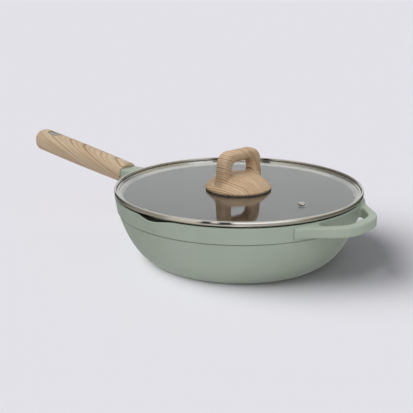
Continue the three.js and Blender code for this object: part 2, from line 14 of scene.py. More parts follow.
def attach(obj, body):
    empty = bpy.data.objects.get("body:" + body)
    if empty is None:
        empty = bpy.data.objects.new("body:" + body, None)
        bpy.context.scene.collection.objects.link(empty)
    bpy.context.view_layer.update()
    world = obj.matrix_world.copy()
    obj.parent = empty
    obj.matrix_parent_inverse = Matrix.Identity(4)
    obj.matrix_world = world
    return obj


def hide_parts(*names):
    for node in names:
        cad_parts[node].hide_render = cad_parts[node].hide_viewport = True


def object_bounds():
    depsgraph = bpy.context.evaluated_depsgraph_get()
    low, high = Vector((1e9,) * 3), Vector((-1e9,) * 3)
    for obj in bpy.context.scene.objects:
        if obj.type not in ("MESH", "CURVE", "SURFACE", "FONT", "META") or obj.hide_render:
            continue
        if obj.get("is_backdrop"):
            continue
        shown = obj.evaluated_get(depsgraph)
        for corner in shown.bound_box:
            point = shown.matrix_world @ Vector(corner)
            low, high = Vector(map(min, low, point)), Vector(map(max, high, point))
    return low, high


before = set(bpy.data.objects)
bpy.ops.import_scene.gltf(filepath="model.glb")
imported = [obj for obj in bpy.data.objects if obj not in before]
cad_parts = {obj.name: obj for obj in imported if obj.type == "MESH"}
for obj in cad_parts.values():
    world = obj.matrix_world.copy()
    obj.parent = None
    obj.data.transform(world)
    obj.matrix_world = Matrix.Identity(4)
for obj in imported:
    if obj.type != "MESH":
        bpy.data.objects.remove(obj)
CAD_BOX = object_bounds()
MM = 0.001

# %% [markdown]
# The camera stands a little above the lid, to the side of the helper handle, about a metre away. Its place
# and aim come from fitting the lid's ellipse and the base in the picture. The frame is square, so the lens
# and the sensor's width give the picture's angle.

# %% Camera
CAMERA_AT = Vector((0.5778, -0.7668, 0.3396))
CAMERA_AIM = Vector((-0.6063, 0.7426, -0.2842))
LENS, SENSOR = 74.07, 36

camera = bpy.data.objects.new("camera", bpy.data.cameras.new("camera"))
camera.data.sensor_width = SENSOR
camera.data.lens = LENS
camera.location = CAMERA_AT
camera.rotation_euler = CAMERA_AIM.to_track_quat("-Z", "Y").to_euler()
bpy.context.scene.collection.objects.link(camera)
bpy.context.scene.camera = camera
print("camera", round(CAMERA_AT.length, 3), "m from the middle of the base")

# %% [markdown]
# Shaders are sums on sockets. Drawn as nodes they take a screenful, so a small class wraps a socket: a sum
# in Python adds a Math node, and one method adds any other node.

# %% Sums on sockets
def set_stops(elements, stops):
    """Sets the stops of a colour ramp, each a number with its colour."""
    for number, _ in stops[1:-1]:
        elements.new(number)
    for element, (number, colour) in zip(elements, stops):
        element.position, element.color = number, colour


class Signal:
    """An output of a node. A sum on it adds a Math node, and node() adds any other node to the same tree."""

    def __init__(self, socket):
        self.socket = socket
        self.tree = socket.id_data

    def node(self, kind, settings=None, inputs=None, output=0):
        made = self.tree.nodes.new(kind)
        for name, value in (settings or {}).items():
            if name == "stops":
                set_stops(made.color_ramp.elements, value)
            else:
                setattr(made, name, value)
        for name, value in (inputs or {}).items():
            if isinstance(value, Signal):
                self.tree.links.new(value.socket, made.inputs[name])
            else:
                made.inputs[name].default_value = value
        return Signal(made.outputs[output]) if made.outputs else made

    def math(self, operation, first, second=0.0):
        return self.node("ShaderNodeMath", {"operation": operation}, {0: first, 1: second})

    def __add__(self, other):
        return self.math("ADD", self, other)

    def __sub__(self, other):
        return self.math("SUBTRACT", self, other)

    def __rsub__(self, other):
        return self.math("SUBTRACT", other, self)

    def __mul__(self, other):
        return self.math("MULTIPLY", self, other)

    __radd__ = __add__
    __rmul__ = __mul__

    def vector(self, operation, other=(0, 0, 0), output="Vector"):
        return self.node("ShaderNodeVectorMath", {"operation": operation}, {0: self, 1: other}, output)

    def ramp(self, low, high):
        """0 below low, 1 above high and smooth between. A low above high turns it round."""
        return self.node("ShaderNodeMapRange", {"interpolation_type": "SMOOTHSTEP"},
                         {"Value": self, "From Min": low, "From Max": high})

    def mix(self, first, second):
        """A colour: first where this is 0, second where it is 1."""
        return self.node("ShaderNodeMix", {"data_type": "RGBA"}, {0: self, 6: first, 7: second}, output=2)

    def strip(self, stops):
        """A colour from a list of stops, each a number with its colour, blended in between."""
        return self.node("ShaderNodeValToRGB", {"stops": stops}, {"Fac": self}, "Color")

    def noise(self, scale, detail=2.0):
        """Noise in space, with its patches about 1 / scale across."""
        return self.node("ShaderNodeTexNoise", {}, {"Vector": self, "Scale": scale, "Detail": detail})

    def layers(self, scale, detail=2.0):
        """Noise along one number, such as the distance from the heart of a tree."""
        return self.node("ShaderNodeTexNoise", {"noise_dimensions": "1D"},
                         {"W": self, "Scale": scale, "Detail": detail})

    def bump(self, height):
        """Surface relief: this signal, from 0 to 1, raised to a height in millimetres."""
        return self.node("ShaderNodeBump", {}, {"Height": self, "Distance": height * MM})

    def into(self, socket):
        self.tree.links.new(self.socket, socket)


def linear(red, green, blue):
    """A colour of the picture, in 0 to 255, as the linear light that shaders work in."""
    channels = [value / 255 for value in (red, green, blue)]
    return (*[c / 12.92 if c <= 0.04045 else ((c + 0.055) / 1.055) ** 2.4 for c in channels], 1.0)


print("a mid grey of 128 is", round(linear(128, 128, 128)[0], 3), "in linear light")

# %% [markdown]
# The studio is a sky and a floor. Light Path gives the sky two faces. Diffuse surfaces get an even, dim
# glow, and the camera sees the pale lavender-grey of the backdrop. Metal and glass see a whole room,
# because polished steel looks like steel only when it has something to mirror. The room is three strips by
# compass direction, one over the other: table, walls and lamps, under a ceiling. Each stop is a turn, a
# brightness and a tint. Turns go from the backdrop by the left to the camera, at one half, and on round.
# Two dark bars among the lamps give the near side of the rim its short dark dashes.

# %% Sky
BACKDROP = linear(227, 226, 231)
GLOW = (0.25, 0.25, 0.258, 1.0)
PLAIN, CREAM, BROWN, COOL = (1.0, 1.005, 1.0), (1.04, 1.0, 0.90), (1.05, 1.0, 0.86), (0.97, 0.98, 1.06)
BACK, OVERHEAD = 0.76, 0.74
TABLE_BELOW, LAMPS_ABOVE, CEILING_ABOVE = (-0.18, -0.30), (0.10, 0.22), (0.54, 0.66)
BACK_LEFT, BACK_RIGHT = ([(at, BACK, PLAIN) for at in ends] for ends in ((0.0, 0.06), (0.94, 1.0)))
TABLE = [(0.09, 0.25, PLAIN), (0.25, 0.40, BROWN), (0.34, 0.60, CREAM), (0.46, 0.62, CREAM),
         (0.505, 1.0, CREAM), (0.55, 0.68, CREAM), (0.66, 0.42, CREAM), (0.70, 0.30, BROWN),
         (0.90, 0.22, BROWN)]
WALLS = [(0.085, 0.08, PLAIN), (0.155, 0.10, PLAIN), (0.19, 0.26, BROWN), (0.31, 0.36, BROWN),
         (0.335, 0.72, CREAM), (0.395, 0.72, CREAM), (0.415, 0.08, COOL), (0.475, 0.08, COOL),
         (0.50, 0.26, COOL), (0.56, 0.42, COOL), (0.645, 0.42, CREAM), (0.69, 0.20, BROWN),
         (0.80, 0.16, BROWN), (0.87, 0.08, PLAIN), (0.92, 0.06, PLAIN)]
LAMPS = [(0.085, 0.30, PLAIN), (0.24, 0.36, BROWN), (0.32, 0.60, CREAM), (0.408, 0.95, CREAM),
         (0.414, 0.06, COOL), (0.432, 0.06, COOL), (0.437, 1.05, CREAM), (0.450, 1.05, CREAM),
         (0.456, 0.06, COOL), (0.482, 0.06, COOL), (0.490, 1.40, PLAIN), (0.625, 1.40, PLAIN),
         (0.66, 0.75, CREAM), (0.72, 0.64, BROWN), (0.80, 0.70, BROWN), (0.87, 0.55, PLAIN),
         (0.91, 0.25, PLAIN)]
UP = Vector((0, 0, 1))

to_camera = Vector((CAMERA_AT.x, CAMERA_AT.y, 0)).normalized()
to_right = UP.cross(to_camera)

world = bpy.data.worlds.new("studio")
world.use_nodes = True
sky = world.node_tree
sky.nodes.clear()
direction = Signal(sky.nodes.new("ShaderNodeTexCoord").outputs["Generated"])
path = sky.nodes.new("ShaderNodeLightPath").outputs
is_camera, is_glossy, is_through = (
    Signal(path[name]) for name in ("Is Camera Ray", "Is Glossy Ray", "Is Transmission Ray")
)
rightwards, forwards, upwards = (
    direction.vector("DOT_PRODUCT", side, output="Value") for side in (to_right, to_camera, UP)
)
turn = direction.math("ARCTAN2", rightwards, forwards) * (1 / math.tau) + 0.5
table, walls, lamps = (
    turn.strip([(at, (*[level * part for part in tint], 1.0)) for at, level, tint in stops])
    for stops in (BACK_LEFT + middle + BACK_RIGHT for middle in (TABLE, WALLS, LAMPS))
)
room = upwards.ramp(*LAMPS_ABOVE).mix(upwards.ramp(*TABLE_BELOW).mix(walls, table), lamps)
mirrored = upwards.ramp(*CEILING_ABOVE).mix(room, (OVERHEAD, OVERHEAD, OVERHEAD, 1.0))
seen = is_glossy.mix(BACKDROP, mirrored)
shown = (is_camera + is_glossy + is_through).mix(GLOW, seen)
glow = shown.node("ShaderNodeBackground", {}, {"Color": shown, "Strength": 1.0})
glow.node("ShaderNodeOutputWorld", {}, {"Surface": glow})
bpy.context.scene.world = world
bpy.context.scene.view_settings.view_transform = "Standard"
print("sky of", len(sky.nodes), "nodes")

# %% [markdown]
# The floor runs past the edge of the picture, so that no horizon shows. It is as pale as the backdrop and
# quite matt. Mirrors leave it out, because the room in the sky has a table of its own.

# %% Floor
FLOOR_R, FLOOR_SIDES = 40, 96
FLOOR_DOWN = 0.2 * MM


def as_object(mesh, name):
    data = bpy.data.meshes.new(name)
    mesh.to_mesh(data)
    mesh.free()
    thing = bpy.data.objects.new(name, data)
    bpy.context.scene.collection.objects.link(thing)
    return thing


floor_mesh = bmesh.new()
bmesh.ops.create_circle(floor_mesh, cap_ends=True, segments=FLOOR_SIDES, radius=FLOOR_R,
                        matrix=Matrix.Translation((0, 0, -FLOOR_DOWN)))
floor = as_object(floor_mesh, "floor")
floor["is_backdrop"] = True
floor.visible_glossy = False
floor_finish = bpy.data.materials.new("floor")
floor_finish.use_nodes = True
floor_shader = floor_finish.node_tree.nodes["Principled BSDF"].inputs
floor_shader["Base Color"].default_value = BACKDROP
floor_shader["Roughness"].default_value = 1.0
floor_shader["Specular IOR Level"].default_value = 0.0
floor.data.materials.append(floor_finish)
print("floor", 2 * FLOOR_R, "m across")

# %% [markdown]
# The pan is lit by a large soft light from the front and one from above. Its shadow lies to the right, as
# though from a low window on the left. One set of lamps can't give both, so the floor has a window of its
# own. Light linking does that: each lamp has a collection that says what it lights.

# %% Lamps
floor_only, not_floor = (bpy.data.collections.new(name) for name in ("floor_only", "not_floor"))
for group in (floor_only, not_floor):
    group.objects.link(floor)
not_floor.collection_objects[0].light_linking.link_state = "EXCLUDE"


def add_sun(name, aim, strength, softness, lit):
    """A far lamp along aim, on what it may light. Its softness is the angle that it fills in the sky."""
    lamp = bpy.data.lights.new(name, "SUN")
    lamp.energy = strength
    lamp.angle = math.radians(softness)
    sun = bpy.data.objects.new(name, lamp)
    sun.rotation_euler = aim.to_track_quat("-Z", "Y").to_euler()
    sun.visible_glossy = sun.visible_transmission = False
    sun.light_linking.receiver_collection = lit
    bpy.context.scene.collection.objects.link(sun)
    print(name, "falls along", [round(value, 2) for value in aim.normalized()])


from_front = -0.10 * to_right - 0.72 * to_camera - 0.68 * UP
from_above = 0.10 * to_right - 0.99 * UP
from_window = 0.755 * to_right - 0.10 * to_camera - 0.656 * UP
add_sun("front_light", from_front, strength=1.4, softness=80, lit=not_floor)
add_sun("top_light", from_above, strength=1.25, softness=60, lit=not_floor)
add_sun("floor_light", from_window, strength=3.58, softness=60, lit=floor_only)

# %% [markdown]
# Every finish starts the same way: a Principled shader whose constant values are set on its own sockets,
# and the Object coordinates of the piece, turned into millimetres, for whatever changes over its surface.
# Object coordinates run through a piece like grain through a plank, so a pattern never stretches and needs
# no unwrapping.

# %% Starting a finish
def start_finish(name, **constants):
    """A new material, its shader's inputs and the place on the piece in millimetres."""
    material = bpy.data.materials.new(name)
    material.use_nodes = True
    shader = material.node_tree.nodes["Principled BSDF"].inputs
    for socket, value in constants.items():
        shader[socket.replace("_", " ")].default_value = value
    place = Signal(material.node_tree.nodes.new("ShaderNodeTexCoord").outputs["Object"])
    print("finish", name)
    return material, shader, place.vector("MULTIPLY", (1 / MM, 1 / MM, 1 / MM))


# %% [markdown]
# The casting is sprayed outside with a satin sage-green enamel. Sprayed enamel is even from afar. Near to,
# it has faint clouds of tone and the fine dimples that painters call orange peel, so the colour gets a slow
# noise and the relief a quick one.

# %% Enamel
SAGE_PALE = linear(166, 177, 162)
SAGE_DEEP = linear(162, 173, 157)


def enamel():
    material, shader, place = start_finish("sage_enamel", Specular_IOR_Level=0.35, Coat_Weight=0.1,
                                           Coat_Roughness=0.25)
    place.noise(0.02, 3).ramp(0.35, 0.65).mix(SAGE_DEEP, SAGE_PALE).into(shader["Base Color"])
    (0.46 + 0.08 * place.noise(0.15, 3)).into(shader["Roughness"])
    place.noise(0.9, 1).bump(0.012).into(shader["Normal"])
    return material


sage_enamel = enamel()

# %% [markdown]
# Inside, the pan has a dark grey non-stick coat with a fine light speckle. The speckle is a quick noise,
# cut off high, so that only its peaks show.

# %% Non-stick coat
COAT_DARK = linear(46, 46, 47)
COAT_SPECK = linear(104, 104, 104)


def non_stick():
    material, shader, place = start_finish("non_stick_coat")
    specks = place.noise(1.6, 2).ramp(0.66, 0.74)
    specks.mix(COAT_DARK, COAT_SPECK).into(shader["Base Color"])
    (0.38 + 0.12 * place.noise(0.3, 2)).into(shader["Roughness"])
    place.noise(2.2, 2).bump(0.02).into(shader["Normal"])
    return material


non_stick_coat = non_stick()

# %% [markdown]
# The grip and the knob have the look of pale oak. Wood is layers round the heart of a tree, cut by a shape.
# So the finish measures the distance from a line, the heart, and bends it a little with noise. A noise
# along that distance gives broad bands. A saw wave along it gives the year lines, which darken slowly and
# end sharply. Noise that is stretched along the heart gives the fibres. Where the heart lies decides
# whether a cut shows stripes, flames or rings, as it does for a carpenter.

# %% Wood
def wood(name, heart, grain, year, sway, pale, warm, line):
    """Satin wood, its heart through a point along a direction. A year and the sway of its lines are in mm."""
    material, shader, place = start_finish(name)
    lie = Vector(grain).to_track_quat("Z", "Y").to_euler()
    stick = place.node("ShaderNodeMapping", {"vector_type": "TEXTURE"},
                       {"Vector": place, "Location": heart, "Rotation": lie})
    bend = stick.vector("MULTIPLY", (1, 1, 0.15)).noise(0.035, 2) - 0.5
    depth = stick.vector("MULTIPLY", (1, 1, 0)).vector("LENGTH", output="Value") + sway * bend
    uneven = depth + 2.2 * year * depth.layers(0.22 / year, 1)
    season = uneven.math("FRACT", uneven * (1 / year))
    late = season.ramp(0.40, 0.93) * season.ramp(1.0, 0.93)
    boldness = depth.layers(0.55 / year, 1).ramp(0.40, 0.68)
    bands = depth.layers(0.16 / year, 2).ramp(0.3, 0.7)
    fibres = stick.vector("MULTIPLY", (1, 1, 0.035)).noise(1.6, 3)
    streaks = stick.vector("MULTIPLY", (1, 1, 0.05)).noise(0.28, 2).ramp(0.3, 0.7)
    ground = (0.55 * bands + 0.45 * streaks).mix(pale, warm)
    mark = late * (0.32 + 0.60 * boldness) + 0.42 * (fibres - 0.5)
    mark.math("MAXIMUM", mark).mix(ground, line).into(shader["Base Color"])
    (0.50 + 0.16 * fibres).into(shader["Roughness"])
    (fibres - 0.35 * late).bump(0.05).into(shader["Normal"])
    return material


oak_grip = wood("oak_grip", heart=(-422, -88, -277), grain=(0.937, 0.0, -0.350), year=2.4, sway=9,
                pale=linear(203, 184, 157), warm=linear(188, 162, 131), line=linear(128, 98, 69))
oak_knob = wood("oak_knob", heart=(0, -41, 75), grain=(1.0, -0.08, 0.04), year=2.5, sway=8,
                pale=linear(214, 189, 158), warm=linear(191, 160, 125), line=linear(96, 62, 36))

# %% [markdown]
# Metals differ mostly in how rough they are. The rim of the lid is polished, so its roughness is low and
# nearly even. The base is brushed in circles, so a noise along the distance from the middle cuts fine rings
# into it. Screws, washers and the insert have a plain satin finish, and the liner of the hanging slot a
# duller, grey one.

# %% Metals
STEEL = (0.63, 0.61, 0.57, 1.0)
STEEL_DULL = (0.50, 0.50, 0.49, 1.0)
BRASS = (0.60, 0.43, 0.17, 1.0)
LINER_GREY = linear(196, 197, 193)


def polished_steel():
    material, shader, place = start_finish("polished_steel", Base_Color=STEEL, Metallic=1.0)
    (0.06 + 0.04 * place.noise(0.08, 2)).into(shader["Roughness"])
    return material


def circular_brushed():
    material, shader, place = start_finish("circular_brushed_steel", Metallic=1.0)
    rings = place.vector("MULTIPLY", (1, 1, 0)).vector("LENGTH", output="Value").layers(2.4, 3)
    rings.mix(STEEL_DULL, STEEL).into(shader["Base Color"])
    (0.26 + 0.18 * rings).into(shader["Roughness"])
    rings.bump(0.02).into(shader["Normal"])
    return material


def satin_metal(name, colour, roughness, metallic=1.0, scale=1.2, spread=0.15, relief=0.008):
    material, shader, place = start_finish(name, Base_Color=colour, Metallic=metallic)
    grain = place.noise(scale, 3)
    (roughness + spread * (grain - 0.5)).into(shader["Roughness"])
    grain.bump(relief).into(shader["Normal"])
    return material


rim_steel, base_steel = polished_steel(), circular_brushed()
screw_steel = satin_metal("satin_steel", STEEL_DULL, 0.34)
insert_brass = satin_metal("machined_brass", BRASS, 0.30)
liner_grey = satin_metal("matt_grey_liner", LINER_GREY, 0.55, metallic=0.2, scale=1.5, spread=0.14,
                         relief=0.015)

# %% [markdown]
# The gasket and the seal are matt brown silicone. The darker finish in the corner of the rim is painted
# shade: it stands for the shadowed gap between bead and glass. The glass is clear: seen as flat as this, its
# two faces mirror about two fifths of the backdrop and of the knob, and that mirror over the dark pan is what
# makes it look grey. So it needs no grey colour of its own, only smooth faces, the right refraction and a
# trace of wiping marks.

# %% Silicone and glass
GASKET_BROWN = linear(122, 112, 101)
# Painted shade: the dark colour for the rim's corner, where there is only the shadowed gap between bead and
# glass.
PAINTED_GAP_SHADE = linear(70, 64, 58)
GLASS_TINT = (0.94, 0.96, 0.955, 1.0)
GLASS_SHEEN = (0.95, 1.0, 1.0, 1.0)


# A matt finish: real silicone for the gasket and the seal, and painted shade in the rim's corner.
def silicone_and_shade(name, tone):
    material, shader, place = start_finish(name, Base_Color=tone)
    (0.62 + 0.16 * place.noise(0.6, 2)).into(shader["Roughness"])
    place.noise(2.5, 2).bump(0.01).into(shader["Normal"])
    return material


def clear_glass():
    material, shader, place = start_finish("clear_glass", Base_Color=GLASS_TINT, Specular_Tint=GLASS_SHEEN,
                                           IOR=1.5, Transmission_Weight=1.0)
    (0.02 * place.noise(0.02, 3).ramp(0.5, 0.8)).into(shader["Roughness"])
    return material


gasket_silicone = silicone_and_shade("gasket_silicone", GASKET_BROWN)
# The rim's second finish is painted shade for the shadowed gap between bead and glass.
rim_painted_shade = silicone_and_shade("rim_painted_shade", PAINTED_GAP_SHADE)
lid_clear_glass = clear_glass()

# %% [markdown]
# Most pieces of a pan are turned or flat, so a few helpers draw most of them. One rounds the corners of a
# line, because no real edge is sharp and a round one catches a thin light. Four radii serve for most edges,
# from crisp to soft. One helper spins a profile round the upright axis, in more facets the wider the piece
# is, and one raises an outline to a plate.

# %% Drawing helpers
WIDE, MIDDLE, SMALL = 240, 120, 48
CRISP, BROKEN, EASED, SOFT = 0.2, 0.3, 0.5, 0.8
NEAR, MERGE = 0.01, 0.001


def rounded(corners, closed=False, steps=5):
    """The points of a line through corners (across, up, radius), each corner turned on its radius."""
    line = []
    for i, (across, up, radius) in enumerate(corners):
        here = Vector((across, up))
        if radius == 0 or (not closed and i in (0, len(corners) - 1)):
            line.append(here)
            continue
        back = (Vector(corners[i - 1][:2]) - here).normalized()
        on = (Vector(corners[(i + 1) % len(corners)][:2]) - here).normalized()
        half = back.angle(on) / 2
        centre = here + (back + on).normalized() * radius / math.sin(half)
        first = here + back * radius / math.tan(half) - centre
        last = here + on * radius / math.tan(half) - centre
        shares = [step / steps for step in range(steps + 1)]
        line.extend(centre + first.lerp(last, share).normalized() * radius for share in shares)
    return line


def stepped(line, step):
    """The line with points added, so that no stretch is longer than step."""
    points = [line[0]]
    for start, end in zip(line, line[1:]):
        parts = max(1, math.ceil((end - start).length / step))
        points.extend(start.lerp(end, part / parts) for part in range(1, parts + 1))
    return points


def turned(profile, facets, closed=False):
    """A profile of radius and height, spun round Z."""
    mesh = bmesh.new()
    corners = [mesh.verts.new((p[0], 0, p[1])) for p in profile]
    pairs = list(zip(corners, corners[1:])) + ([(corners[-1], corners[0])] if closed else [])
    edges = [mesh.edges.new(pair) for pair in pairs]
    bmesh.ops.spin(mesh, geom=corners + edges, axis=UP, cent=(0, 0, 0), angle=math.tau, steps=facets,
                   use_merge=True)
    bmesh.ops.remove_doubles(mesh, verts=mesh.verts, dist=MERGE)
    bmesh.ops.recalc_face_normals(mesh, faces=mesh.faces)
    return mesh


def raised(mesh, height):
    """The flat faces of a mesh, raised to a plate of that height."""
    top = bmesh.ops.extrude_face_region(mesh, geom=mesh.faces[:])["geom"]
    corners = [part for part in top if isinstance(part, bmesh.types.BMVert)]
    bmesh.ops.translate(mesh, vec=(0, 0, height), verts=corners)
    bmesh.ops.recalc_face_normals(mesh, faces=mesh.faces)
    return mesh


def slab(line, low, high):
    """A closed line, as a plate between two heights."""
    mesh = bmesh.new()
    mesh.faces.new([mesh.verts.new((p[0], p[1], low)) for p in line])
    return raised(mesh, high - low)


def round_edges(mesh, edges, radius, segments=4):
    bmesh.ops.bevel(mesh, geom=edges, offset=radius, offset_type="OFFSET", segments=segments, profile=0.5,
                    affect="EDGES", material=-1, clamp_overlap=True)


def sharp_edges(mesh, angle=50):
    return [e for e in mesh.edges if e.is_manifold and e.calc_face_angle() > math.radians(angle)]


def level_edges(mesh):
    """The edges whose two ends are at one height."""
    return [e for e in mesh.edges if abs(e.verts[0].co.z - e.verts[1].co.z) < NEAR]


print("helpers for lines, turned pieces and plates")

# %% [markdown]
# Some shapes are easier to carve, or to melt together, than to draw. Blender's modifiers do that, and their
# result goes on as a plain mesh. The last helper puts a finished mesh in its place on a body and hides the
# imported solids it stands for.

# %% Working and placing helpers
def worked(mesh, kind, **settings):
    """The mesh as a modifier leaves it."""
    blank = as_object(mesh, "blank")
    modifier = blank.modifiers.new(kind, kind)
    for name, value in settings.items():
        setattr(modifier, name, value)
    result = bmesh.new()
    result.from_object(blank, bpy.context.evaluated_depsgraph_get())
    bpy.data.meshes.remove(blank.data)
    return result


def carved(mesh, *cutters):
    """The mesh with the shapes of the cutters taken out of it."""
    for cutter in cutters:
        tool = as_object(cutter, "cutter")
        mesh = worked(mesh, "BOOLEAN", operation="DIFFERENCE", solver="EXACT", object=tool)
        bpy.data.meshes.remove(tool.data)
    return mesh


def joined(*meshes):
    """Several meshes in one, each still a closed skin of its own."""
    whole = bmesh.new()
    for mesh in meshes:
        data = bpy.data.meshes.new("joined")
        mesh.to_mesh(data)
        mesh.free()
        whole.from_mesh(data)
        bpy.data.meshes.remove(data)
    return whole


def smooth(mesh, verts):
    bmesh.ops.smooth_vert(mesh, verts=verts, factor=0.5, use_axis_x=True, use_axis_y=True, use_axis_z=True)


def melted(mesh, grid, passes):
    """Overlapping skins as one skin on a grid of that size, with the corners between them softened."""
    skin = worked(mesh, "REMESH", mode="VOXEL", voxel_size=grid)
    for _ in range(passes):
        smooth(skin, skin.verts)
    return skin


def add_piece(name, mesh, body, nodes, finishes, place=None, sharp=38):
    """A mesh in millimetres, as a piece of the pan that rides on a body and stands for some solids."""
    bmesh.ops.remove_doubles(mesh, verts=mesh.verts, dist=MERGE)
    bmesh.ops.recalc_face_normals(mesh, faces=mesh.faces)
    bmesh.ops.transform(mesh, matrix=Matrix.Scale(MM, 4) @ (place or Matrix()), verts=mesh.verts)
    piece = as_object(mesh, name)
    piece.data.shade_smooth()
    piece.data.set_sharp_from_angle(angle=math.radians(sharp))
    for finish in finishes:
        piece.data.materials.append(finish)
    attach(piece, body)
    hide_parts(*nodes)
    piece.data.calc_loop_triangles()
    size = [round(value / MM, 1) for value in piece.dimensions]
    print(name, "-", len(piece.data.loop_triangles), "triangles, size in mm", size)
    return piece


print("helpers for carved, joined and melted pieces, and for their places")

# %% [markdown]
# The bowl is cast aluminium: a flat base, a wall that curves up and out, and a proud belt under the lip,
# over a fine groove. It is round, so one profile is spun, from the middle of the base round the lip to the
# middle of the floor.

# %% Bowl
BODY_H, LIP_R, LIP_TOP_WALL = 74.4, 144.5, 2.4
WALL, FLOOR_T, FLOOR_TURN = 3.5, 5, 26
BELT_H, BELT_LEAN, BELT_STEP, BELT_EDGE, LIP_ROUND = 19, 2.9, 0.9, 0.7, 1.1
CREASE_IN, CREASE_DOWN, CREASE_ROUND, BELT_ROUND = 0.3, 1.0, 0.35, 0.45
GROOVE_DEEP, GROOVE_LOW, GROOVE_HIGH, GROOVE_ROUND = 1.5, 0.1, 0.3, 0.25
BASE_R, BASE_EDGE, BASE_ROUND = 108, 1.2, 3
BOWL_TURN = Vector((128, 13.5))
SEAT_EDGE, SEAT_IN, SEAT_FALL, SEAT_ROUND = 1.0, 1.7, 2.8, 2
PLATE_R, PLATE_T, FIT, POCKET_ROUND = 92, 1.0, 0.3, 0.4
CREASE_H = BODY_H - BELT_H
BELT_LOW_R = LIP_R - BELT_LEAN
CREASE_R = BELT_LOW_R - BELT_STEP
SEAT_TOP_R = LIP_R - LIP_TOP_WALL
INSIDE_FROM = 3 * FLOOR_T
PROFILE_STEP = 4


def bowl_line(steps=26):
    """The outside of the bowl, from the base to the crease under the belt."""
    foot, top = Vector((BASE_R, BASE_EDGE)), Vector((CREASE_R, CREASE_H))
    shares = [step / steps for step in range(steps + 1)]
    return [foot.lerp(BOWL_TURN, t).lerp(BOWL_TURN.lerp(top, t), t) for t in shares]


def bowl_profile():
    outside = bowl_line()
    inside = [Vector((p.x - WALL, p.y)) for p in reversed(outside) if p.y > INSIDE_FROM]
    slope = (outside[1] - outside[0]).normalized()
    foot = BASE_R - BASE_EDGE * slope.x / slope.y
    floor_edge = next(p.x for p in outside if p.y > FLOOR_T) - WALL
    pocket_r, pocket_h = PLATE_R + FIT, PLATE_T + FIT
    base = rounded([(0, pocket_h, 0), (pocket_r, pocket_h, BROKEN), (pocket_r, 0, POCKET_ROUND),
                    (foot, 0, BASE_ROUND), (BASE_R, BASE_EDGE, 0)])
    groove_r, seat_h = CREASE_R - GROOVE_DEEP, BODY_H - SEAT_EDGE
    belt = rounded([
        (*outside[-2], 0), (CREASE_R - CREASE_IN, CREASE_H - CREASE_DOWN, CREASE_ROUND),
        (groove_r, CREASE_H - GROOVE_LOW, GROOVE_ROUND), (groove_r, CREASE_H + GROOVE_HIGH, GROOVE_ROUND),
        (BELT_LOW_R, CREASE_H + BELT_EDGE, BELT_ROUND), (LIP_R, BODY_H, LIP_ROUND),
        (SEAT_TOP_R, BODY_H, EASED), (SEAT_TOP_R, seat_h, BROKEN),
        (SEAT_TOP_R - SEAT_IN, seat_h - SEAT_FALL, SEAT_ROUND), (*inside[0], 0),
    ])
    floor_turn = rounded([(*inside[-1], 0), (floor_edge, FLOOR_T, FLOOR_TURN), (0, FLOOR_T, 0)])
    return stepped(base + outside[1:-2] + belt + inside[1:-1] + floor_turn, PROFILE_STEP)


print("bowl profile of", len(bowl_profile()), "points")

# %% [markdown]
# The lip is drawn out into a pouring spout on each side, which a spin can't do. So the points near each
# spout are pulled out and down afterwards, most at the lip and not at all low on the belt. The faces that
# look into the bowl get the coat as their second finish.

# %% Spouts
SPOUT_AT, SPOUT_HALF, SPOUT_REACH, SPOUT_DROP, SPOUT_FROM, SPOUT_FADE = 91.6, 11, 3.95, 2.5, 60.5, 1.7
COAT_LEAN, COAT_FLAT, COAT_FLOOR_R = -0.2, 0.5, BASE_R + 20


def draw_spouts(mesh):
    for vert in mesh.verts:
        aside = abs(abs(math.degrees(math.atan2(vert.co.y, vert.co.x))) - SPOUT_AT) / SPOUT_HALF
        height = (vert.co.z - SPOUT_FROM) / (BODY_H - SPOUT_FROM)
        if aside < 1 and height > 0:
            pull = (math.cos(aside * math.pi / 2) * height) ** SPOUT_FADE
            out = vert.co.xy.normalized() * SPOUT_REACH * pull
            vert.co += Vector((out.x, out.y, -SPOUT_DROP * pull))


def coat_inside(mesh):
    """Gives the second finish to the faces of the bowl that look inwards or lie inside it."""
    for face in mesh.faces:
        middle = face.calc_center_median()
        inwards = face.normal.dot(Vector((middle.x, middle.y, 0)).normalized()) < COAT_LEAN
        on_floor = face.normal.z > COAT_FLAT and middle.xy.length < COAT_FLOOR_R
        face.material_index = int(middle.z > FLOOR_T / 2 and (inwards or on_floor))


bowl_mesh = turned(bowl_profile(), WIDE)
draw_spouts(bowl_mesh)
coat_inside(bowl_mesh)
bowl = add_piece("bowl", bowl_mesh, "pan", ["pan_body"], [sage_enamel, non_stick_coat])

# %% [markdown]
# The helper handle is cast on: a flat bar that grows out of two pads on the wall, runs out and bends
# across. Seen from above it is one outline with generous fillets where it leaves the pads, so it is drawn
# like that, raised to its height and rounded along its edges. Close to the wall its points lean with the
# belt. The pads are spun through a few degrees. All three are then melted into one skin, because a casting
# has soft corners where a bar meets a pad.

# %% Helper handle
HELPER_REACH, HELPER_H, HELPER_LOW, HELPER_ROUND = 26.79, 11.8, 15.6, 2.6
HELPER_CORNER, HELPER_BEND, HELPER_IN_X, HELPER_IN_CORNER, HELPER_IN_BEND = 27, 40, 161.0, 22.4, 26
ROOT_R, ROOT_OUT, ROOT_IN, ROOT_OUT_FILLET, ROOT_IN_FILLET = 146.2, 24.4, 16.7, 50, 3.6
PAD_FROM, PAD_TO, PAD_PROUD, PAD_DOWN, PAD_ROUND = 17.7, 29.5, 1.8, 1.2, 1.0
ROOT_SINK, ROOT_DEEP, ROOT_PAST, ROOT_STEPS, ROOT_END_ROUND = 1.8, 0.4, 0.7, 6, 2.0
WALL_NEAR, WALL_FAR = 146, 154
HELPER_GRID, HELPER_PASSES = 0.6, 4


def belt_radius(height):
    """The outside of the belt at a height."""
    low = CREASE_H + BELT_EDGE
    return BELT_LOW_R + BELT_LEAN * (height - low) / (BODY_H - low)


def polar(radius, degrees):
    return radius * math.cos(math.radians(degrees)), radius * math.sin(math.radians(degrees))


